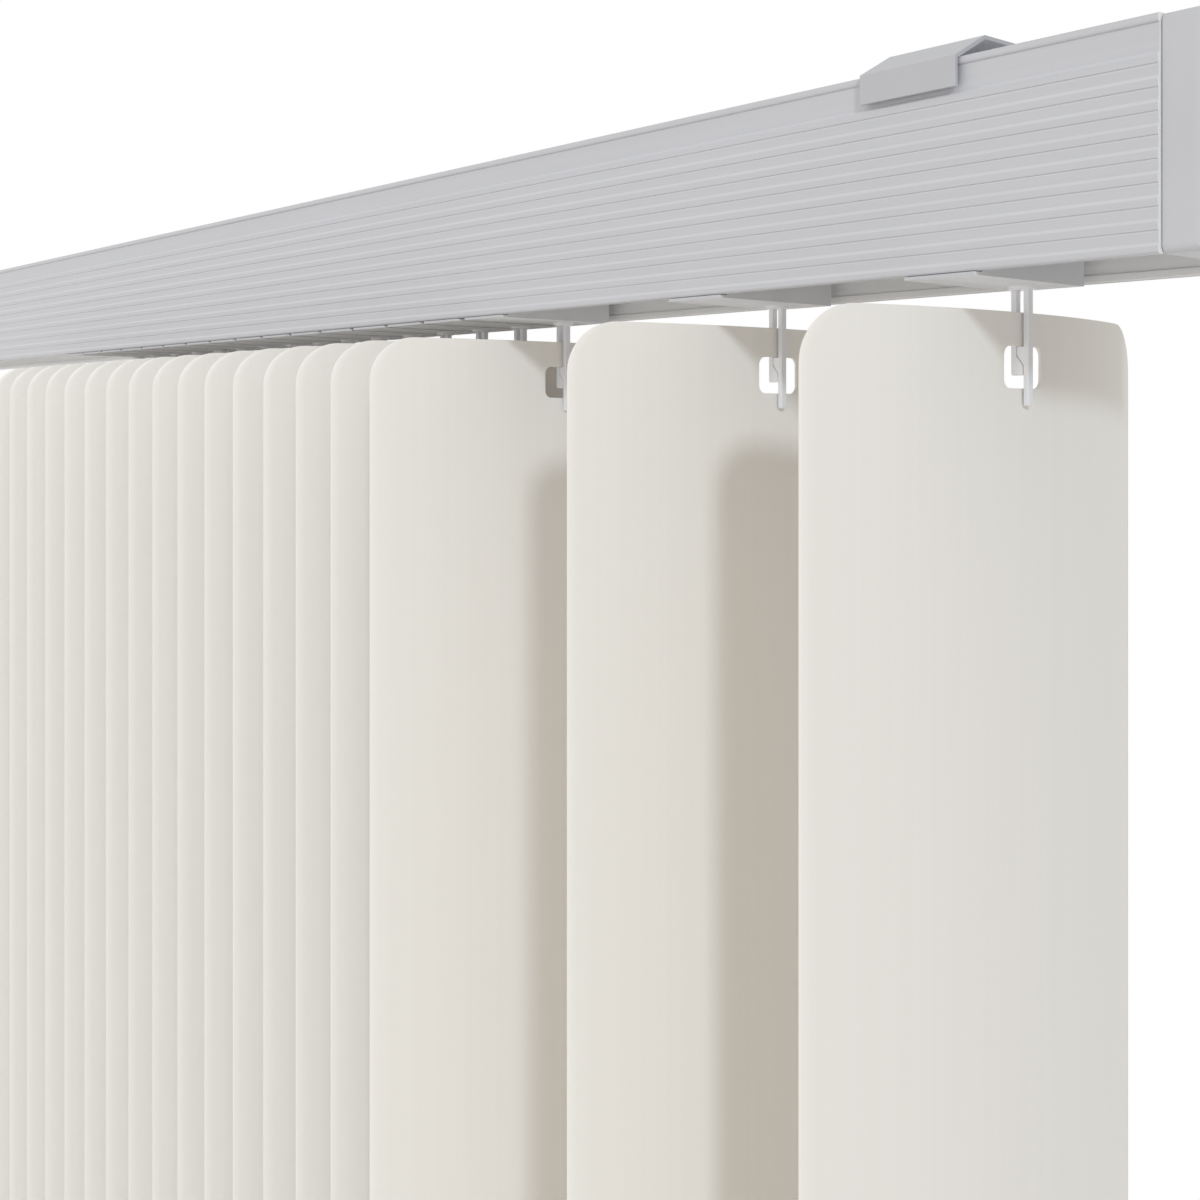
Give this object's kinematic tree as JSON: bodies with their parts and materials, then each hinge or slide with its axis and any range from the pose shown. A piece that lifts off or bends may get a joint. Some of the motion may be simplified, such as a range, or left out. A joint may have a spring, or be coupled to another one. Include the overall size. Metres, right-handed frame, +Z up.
{
  "type": "vertical blind",
  "caption": "Vertical blind with a ribbed headrail on ceiling clips, sliding carriers and curved cream vanes that hang on hooks and tilt together.",
  "frame": {"origin": "middle between the two ceiling screw holes, on the clips' top face", "axes": "+X along the rail towards the stacked end, +Y away from the room, +Z up"},
  "size_m": [1.362, 0.089, 1.2409],
  "materials": {
    "rail_coat": "light grey satin coat on extruded aluminium",
    "cap_plastic": "smooth light grey plastic",
    "bare_aluminium": "drawn bar",
    "clip_coat": "light grey coated spring sheet",
    "carrier_plastic": "moulded grey plastic",
    "hook_plastic": "translucent grey moulded plastic",
    "vane_sheet": "cream semi-gloss sheet with faint streaks along its length"
  },
  "bodies": {
    "headrail_assembly": {"headrail": "rail_coat", "end_cap_right": "cap_plastic", "end_cap_left": "cap_plastic", "ceiling_brackets": "clip_coat"},
    "tilt_rod": {"tilt_rod": "bare_aluminium"},
    "carrier_01": {"carrier_01": "carrier_plastic"},
    "carrier_02": {"carrier_02": "carrier_plastic"},
    "carrier_03": {"carrier_03": "carrier_plastic"},
    "carrier_04": {"carrier_04": "carrier_plastic"},
    "carrier_05": {"carrier_05": "carrier_plastic"},
    "carrier_06": {"carrier_06": "carrier_plastic"},
    "carrier_07": {"carrier_07": "carrier_plastic"},
    "carrier_08": {"carrier_08": "carrier_plastic"},
    "carrier_09": {"carrier_09": "carrier_plastic"},
    "carrier_10": {"carrier_10": "carrier_plastic"},
    "carrier_11": {"carrier_11": "carrier_plastic"},
    "carrier_12": {"carrier_12": "carrier_plastic"},
    "carrier_13": {"carrier_13": "carrier_plastic"},
    "carrier_14": {"carrier_14": "carrier_plastic"},
    "carrier_15": {"carrier_15": "carrier_plastic"},
    "carrier_16": {"carrier_16": "carrier_plastic"},
    "carrier_17": {"carrier_17": "carrier_plastic"},
    "carrier_18": {"carrier_18": "carrier_plastic"},
    "vane_01": {"hook_01": "hook_plastic", "vane_01": "vane_sheet"},
    "vane_02": {"hook_02": "hook_plastic", "vane_02": "vane_sheet"},
    "vane_03": {"hook_03": "hook_plastic", "vane_03": "vane_sheet"},
    "vane_04": {"hook_04": "hook_plastic", "vane_04": "vane_sheet"},
    "vane_05": {"hook_05": "hook_plastic", "vane_05": "vane_sheet"},
    "vane_06": {"hook_06": "hook_plastic", "vane_06": "vane_sheet"},
    "vane_07": {"hook_07": "hook_plastic", "vane_07": "vane_sheet"},
    "vane_08": {"hook_08": "hook_plastic", "vane_08": "vane_sheet"},
    "vane_09": {"hook_09": "hook_plastic", "vane_09": "vane_sheet"},
    "vane_10": {"hook_10": "hook_plastic", "vane_10": "vane_sheet"},
    "vane_11": {"hook_11": "hook_plastic", "vane_11": "vane_sheet"},
    "vane_12": {"hook_12": "hook_plastic", "vane_12": "vane_sheet"},
    "vane_13": {"hook_13": "hook_plastic", "vane_13": "vane_sheet"},
    "vane_14": {"hook_14": "hook_plastic", "vane_14": "vane_sheet"},
    "vane_15": {"hook_15": "hook_plastic", "vane_15": "vane_sheet"},
    "vane_16": {"hook_16": "hook_plastic", "vane_16": "vane_sheet"},
    "vane_17": {"hook_17": "hook_plastic", "vane_17": "vane_sheet"},
    "vane_18": {"hook_18": "hook_plastic", "vane_18": "vane_sheet"}
  },
  "joints": [
    {"name": "carrier_01_slide", "type": "slide", "parent": "headrail_assembly", "child": "carrier_01", "axis": [1, 0, 0], "range_m": [-0.034, 0.018]},
    {"name": "carrier_02_slide", "type": "slide", "parent": "headrail_assembly", "child": "carrier_02", "axis": [1, 0, 0], "range_m": [-0.02285, 0.0002]},
    {"name": "carrier_03_slide", "type": "slide", "parent": "headrail_assembly", "child": "carrier_03", "axis": [1, 0, 0], "range_m": [-0.03509, 0.0002]},
    {"name": "carrier_04_slide", "type": "slide", "parent": "headrail_assembly", "child": "carrier_04", "axis": [1, 0, 0], "range_m": [-0.09504, 0.0002]},
    {"name": "carrier_05_slide", "type": "slide", "parent": "headrail_assembly", "child": "carrier_05", "axis": [1, 0, 0], "range_m": [-0.15559, 0.0002]},
    {"name": "carrier_06_slide", "type": "slide", "parent": "headrail_assembly", "child": "carrier_06", "axis": [1, 0, 0], "range_m": [-0.21613, 0.0002]},
    {"name": "carrier_07_slide", "type": "slide", "parent": "headrail_assembly", "child": "carrier_07", "axis": [1, 0, 0], "range_m": [-0.27668, 0.0002]},
    {"name": "carrier_08_slide", "type": "slide", "parent": "headrail_assembly", "child": "carrier_08", "axis": [1, 0, 0], "range_m": [-0.33723, 0.0002]},
    {"name": "carrier_09_slide", "type": "slide", "parent": "headrail_assembly", "child": "carrier_09", "axis": [1, 0, 0], "range_m": [-0.39778, 0.0002]},
    {"name": "carrier_10_slide", "type": "slide", "parent": "headrail_assembly", "child": "carrier_10", "axis": [1, 0, 0], "range_m": [-0.45832, 0.0002]},
    {"name": "carrier_11_slide", "type": "slide", "parent": "headrail_assembly", "child": "carrier_11", "axis": [1, 0, 0], "range_m": [-0.51887, 0.0002]},
    {"name": "carrier_12_slide", "type": "slide", "parent": "headrail_assembly", "child": "carrier_12", "axis": [1, 0, 0], "range_m": [-0.57942, 0.0002]},
    {"name": "carrier_13_slide", "type": "slide", "parent": "headrail_assembly", "child": "carrier_13", "axis": [1, 0, 0], "range_m": [-0.63997, 0.0002]},
    {"name": "carrier_14_slide", "type": "slide", "parent": "headrail_assembly", "child": "carrier_14", "axis": [1, 0, 0], "range_m": [-0.70051, 0.0002]},
    {"name": "carrier_15_slide", "type": "slide", "parent": "headrail_assembly", "child": "carrier_15", "axis": [1, 0, 0], "range_m": [-0.76106, 0.0002]},
    {"name": "carrier_16_slide", "type": "slide", "parent": "headrail_assembly", "child": "carrier_16", "axis": [1, 0, 0], "range_m": [-0.82161, 0.0002]},
    {"name": "carrier_17_slide", "type": "slide", "parent": "headrail_assembly", "child": "carrier_17", "axis": [1, 0, 0], "range_m": [-0.88215, 0.0002]},
    {"name": "carrier_18_slide", "type": "slide", "parent": "headrail_assembly", "child": "carrier_18", "axis": [1, 0, 0], "range_m": [-0.9425, 0]},
    {"name": "vane_01_tilt", "type": "hinge", "parent": "carrier_01", "child": "vane_01", "pos_m": [0.6396, 0.005, -0.0361], "axis": [0, 0, 1], "range_deg": [-60, 60]},
    {"name": "vane_02_tilt", "type": "hinge", "parent": "carrier_02", "child": "vane_02", "pos_m": [0.587, 0.005, -0.0361], "axis": [0, 0, 1], "range_deg": [-60.5, 60.5]},
    {"name": "vane_03_tilt", "type": "hinge", "parent": "carrier_03", "child": "vane_03", "pos_m": [0.524, 0.005, -0.0361], "axis": [0, 0, 1], "range_deg": [-60.5, 60.5]},
    {"name": "vane_04_tilt", "type": "hinge", "parent": "carrier_04", "child": "vane_04", "pos_m": [0.5087, 0.005, -0.0361], "axis": [0, 0, 1], "range_deg": [-60.5, 60.5]},
    {"name": "vane_05_tilt", "type": "hinge", "parent": "carrier_05", "child": "vane_05", "pos_m": [0.494, 0.005, -0.0361], "axis": [0, 0, 1], "range_deg": [-60.5, 60.5]},
    {"name": "vane_06_tilt", "type": "hinge", "parent": "carrier_06", "child": "vane_06", "pos_m": [0.4793, 0.005, -0.0361], "axis": [0, 0, 1], "range_deg": [-60.5, 60.5]},
    {"name": "vane_07_tilt", "type": "hinge", "parent": "carrier_07", "child": "vane_07", "pos_m": [0.4646, 0.005, -0.0361], "axis": [0, 0, 1], "range_deg": [-60.5, 60.5]},
    {"name": "vane_08_tilt", "type": "hinge", "parent": "carrier_08", "child": "vane_08", "pos_m": [0.4499, 0.005, -0.0361], "axis": [0, 0, 1], "range_deg": [-60.5, 60.5]},
    {"name": "vane_09_tilt", "type": "hinge", "parent": "carrier_09", "child": "vane_09", "pos_m": [0.4352, 0.005, -0.0361], "axis": [0, 0, 1], "range_deg": [-60.5, 60.5]},
    {"name": "vane_10_tilt", "type": "hinge", "parent": "carrier_10", "child": "vane_10", "pos_m": [0.4205, 0.005, -0.0361], "axis": [0, 0, 1], "range_deg": [-60.5, 60.5]},
    {"name": "vane_11_tilt", "type": "hinge", "parent": "carrier_11", "child": "vane_11", "pos_m": [0.4058, 0.005, -0.0361], "axis": [0, 0, 1], "range_deg": [-60.5, 60.5]},
    {"name": "vane_12_tilt", "type": "hinge", "parent": "carrier_12", "child": "vane_12", "pos_m": [0.3911, 0.005, -0.0361], "axis": [0, 0, 1], "range_deg": [-60.5, 60.5]},
    {"name": "vane_13_tilt", "type": "hinge", "parent": "carrier_13", "child": "vane_13", "pos_m": [0.3764, 0.005, -0.0361], "axis": [0, 0, 1], "range_deg": [-60.5, 60.5]},
    {"name": "vane_14_tilt", "type": "hinge", "parent": "carrier_14", "child": "vane_14", "pos_m": [0.3617, 0.005, -0.0361], "axis": [0, 0, 1], "range_deg": [-60.5, 60.5]},
    {"name": "vane_15_tilt", "type": "hinge", "parent": "carrier_15", "child": "vane_15", "pos_m": [0.347, 0.005, -0.0361], "axis": [0, 0, 1], "range_deg": [-60.5, 60.5]},
    {"name": "vane_16_tilt", "type": "hinge", "parent": "carrier_16", "child": "vane_16", "pos_m": [0.3323, 0.005, -0.0361], "axis": [0, 0, 1], "range_deg": [-60.5, 60.5]},
    {"name": "vane_17_tilt", "type": "hinge", "parent": "carrier_17", "child": "vane_17", "pos_m": [0.3176, 0.005, -0.0361], "axis": [0, 0, 1], "range_deg": [-60.5, 60.5]},
    {"name": "vane_18_tilt", "type": "hinge", "parent": "carrier_18", "child": "vane_18", "pos_m": [0.3029, 0.005, -0.0361], "axis": [0, 0, 1], "range_deg": [-60.5, 60.5]},
    {"name": "tilt_rod_turn", "type": "hinge", "parent": "headrail_assembly", "child": "tilt_rod", "pos_m": [0, -0.0044, -0.01534], "axis": [1, 0, 0], "range_deg": [-605, 605]}
  ],
  "couplings": [
    {"joint": "carrier_02_slide", "follows": "carrier_18_slide", "ratio": 0.024029},
    {"joint": "carrier_03_slide", "follows": "carrier_18_slide", "ratio": 0.037023},
    {"joint": "carrier_04_slide", "follows": "carrier_18_slide", "ratio": 0.10063},
    {"joint": "carrier_05_slide", "follows": "carrier_18_slide", "ratio": 0.16487},
    {"joint": "carrier_06_slide", "follows": "carrier_18_slide", "ratio": 0.22911},
    {"joint": "carrier_07_slide", "follows": "carrier_18_slide", "ratio": 0.29335},
    {"joint": "carrier_08_slide", "follows": "carrier_18_slide", "ratio": 0.35759},
    {"joint": "carrier_09_slide", "follows": "carrier_18_slide", "ratio": 0.42183},
    {"joint": "carrier_10_slide", "follows": "carrier_18_slide", "ratio": 0.48607},
    {"joint": "carrier_11_slide", "follows": "carrier_18_slide", "ratio": 0.55031},
    {"joint": "carrier_12_slide", "follows": "carrier_18_slide", "ratio": 0.61455},
    {"joint": "carrier_13_slide", "follows": "carrier_18_slide", "ratio": 0.6788},
    {"joint": "carrier_14_slide", "follows": "carrier_18_slide", "ratio": 0.74304},
    {"joint": "carrier_15_slide", "follows": "carrier_18_slide", "ratio": 0.80728},
    {"joint": "carrier_16_slide", "follows": "carrier_18_slide", "ratio": 0.87152},
    {"joint": "carrier_17_slide", "follows": "carrier_18_slide", "ratio": 0.93576},
    {"joint": "vane_02_tilt", "follows": "vane_01_tilt", "ratio": 1},
    {"joint": "vane_03_tilt", "follows": "vane_01_tilt", "ratio": 1},
    {"joint": "vane_04_tilt", "follows": "vane_01_tilt", "ratio": 1},
    {"joint": "vane_05_tilt", "follows": "vane_01_tilt", "ratio": 1},
    {"joint": "vane_06_tilt", "follows": "vane_01_tilt", "ratio": 1},
    {"joint": "vane_07_tilt", "follows": "vane_01_tilt", "ratio": 1},
    {"joint": "vane_08_tilt", "follows": "vane_01_tilt", "ratio": 1},
    {"joint": "vane_09_tilt", "follows": "vane_01_tilt", "ratio": 1},
    {"joint": "vane_10_tilt", "follows": "vane_01_tilt", "ratio": 1},
    {"joint": "vane_11_tilt", "follows": "vane_01_tilt", "ratio": 1},
    {"joint": "vane_12_tilt", "follows": "vane_01_tilt", "ratio": 1},
    {"joint": "vane_13_tilt", "follows": "vane_01_tilt", "ratio": 1},
    {"joint": "vane_14_tilt", "follows": "vane_01_tilt", "ratio": 1},
    {"joint": "vane_15_tilt", "follows": "vane_01_tilt", "ratio": 1},
    {"joint": "vane_16_tilt", "follows": "vane_01_tilt", "ratio": 1},
    {"joint": "vane_17_tilt", "follows": "vane_01_tilt", "ratio": 1},
    {"joint": "vane_18_tilt", "follows": "vane_01_tilt", "ratio": 1},
    {"joint": "tilt_rod_turn", "follows": "vane_01_tilt", "ratio": 10}
  ]
}
